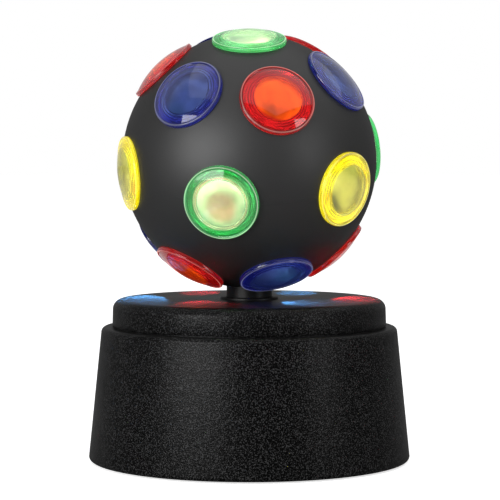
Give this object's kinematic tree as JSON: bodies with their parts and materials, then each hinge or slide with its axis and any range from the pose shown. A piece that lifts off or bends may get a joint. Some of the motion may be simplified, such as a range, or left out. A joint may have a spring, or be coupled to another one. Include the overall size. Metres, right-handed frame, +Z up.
{
  "type": "disco lamp",
  "caption": "Table-top disco lamp: a black ball set with round coloured lenses turns on a short neck above a stepped round battery base.",
  "frame": {"origin": "middle of the footprint, on the surface that the feet stand on", "axes": "+Z up along the ball's spin axis, -Y towards the viewer of the picture, +X to the right"},
  "size_m": [0.13, 0.13, 0.1745],
  "materials": {
    "case_black": "black moulded plastic with an even fine leather grain",
    "ball_black": "smooth satin black moulded plastic",
    "inner_black": "plain black moulded plastic",
    "foot_rubber": "soft black rubber pad",
    "steel": "zinc plated steel",
    "motor_steel": "pressed steel can",
    "contact_brass": "bare brass",
    "cell_jacket": "plain unmarked cell jacket",
    "gear_white": "natural nylon",
    "board_white": "white lamp board",
    "lead_red": "soft insulated lead",
    "light_glow": "clear light with a warm white glow",
    "lens_red": "clear coloured plastic, polished",
    "lens_blue": "clear coloured plastic, polished",
    "lens_green": "clear coloured plastic, polished",
    "lens_yellow": "clear coloured plastic, polished"
  },
  "bodies": {
    "base": {"base_housing": "case_black", "top_cover": "case_black", "bottom_plate": "inner_black", "foot_1": "foot_rubber", "foot_2": "foot_rubber", "foot_3": "foot_rubber", "foot_4": "foot_rubber", "case_screw_1": "steel", "case_screw_2": "steel", "case_screw_3": "steel", "battery_cell_1": "cell_jacket", "battery_cell_2": "cell_jacket", "battery_cell_3": "cell_jacket", "contact_rear_pair": "contact_brass", "contact_rear_single": "contact_brass", "contact_front_single": "contact_brass", "contact_front_pair": "contact_brass", "switch_body": "steel", "drive_plate": "inner_black", "drive_plate_screw_1": "steel", "drive_plate_screw_2": "steel", "drive_plate_screw_3": "steel", "gear_motor": "motor_steel", "motor_screw_1": "steel", "motor_screw_2": "steel", "thrust_washer": "gear_white", "neck_bush": "inner_black", "lamp_post": "inner_black", "light_board": "board_white", "light_source": "light_glow", "light_lead": "lead_red", "battery_lead": "lead_red"},
    "ball": {"ball_upper_shell": "ball_black", "ball_lower_shell": "ball_black", "ball_gear": "gear_white", "gear_clip": "steel", "lens_top": "lens_green", "lens_upper_1": "lens_red", "lens_upper_2": "lens_blue", "lens_upper_3": "lens_red", "lens_upper_4": "lens_blue", "lens_upper_5": "lens_red", "lens_upper_6": "lens_blue", "lens_middle_1": "lens_yellow", "lens_middle_2": "lens_green", "lens_middle_3": "lens_yellow", "lens_middle_4": "lens_green", "lens_middle_5": "lens_yellow", "lens_middle_6": "lens_green", "lens_lower_1": "lens_blue", "lens_lower_2": "lens_red", "lens_lower_3": "lens_blue", "lens_lower_4": "lens_red", "lens_lower_5": "lens_blue", "lens_lower_6": "lens_red"},
    "pinion": {"motor_shaft": "steel", "drive_pinion": "contact_brass"},
    "switch": {"switch_knob": "inner_black"},
    "door": {"battery_door": "inner_black", "battery_door_screw": "steel"}
  },
  "joints": [
    {"name": "ball_spin", "type": "hinge", "parent": "base", "child": "ball", "pos_m": [0, 0, 0.1], "axis": [0, 0, 1], "continuous": true},
    {"name": "pinion_spin", "type": "hinge", "parent": "base", "child": "pinion", "pos_m": [-0.0253, 0, 0.05], "axis": [0, 0, 1], "continuous": true},
    {"name": "switch_slide", "type": "slide", "parent": "base", "child": "switch", "axis": [1, 0, 0], "range_m": [-0.004, 0]},
    {"name": "battery_door_hinge", "type": "hinge", "parent": "base", "child": "door", "pos_m": [0, -0.0332, 0.0034], "axis": [-1, 0, 0], "range_deg": [0, 90]}
  ],
  "couplings": [
    {"joint": "pinion_spin", "follows": "ball_spin", "ratio": -3}
  ]
}
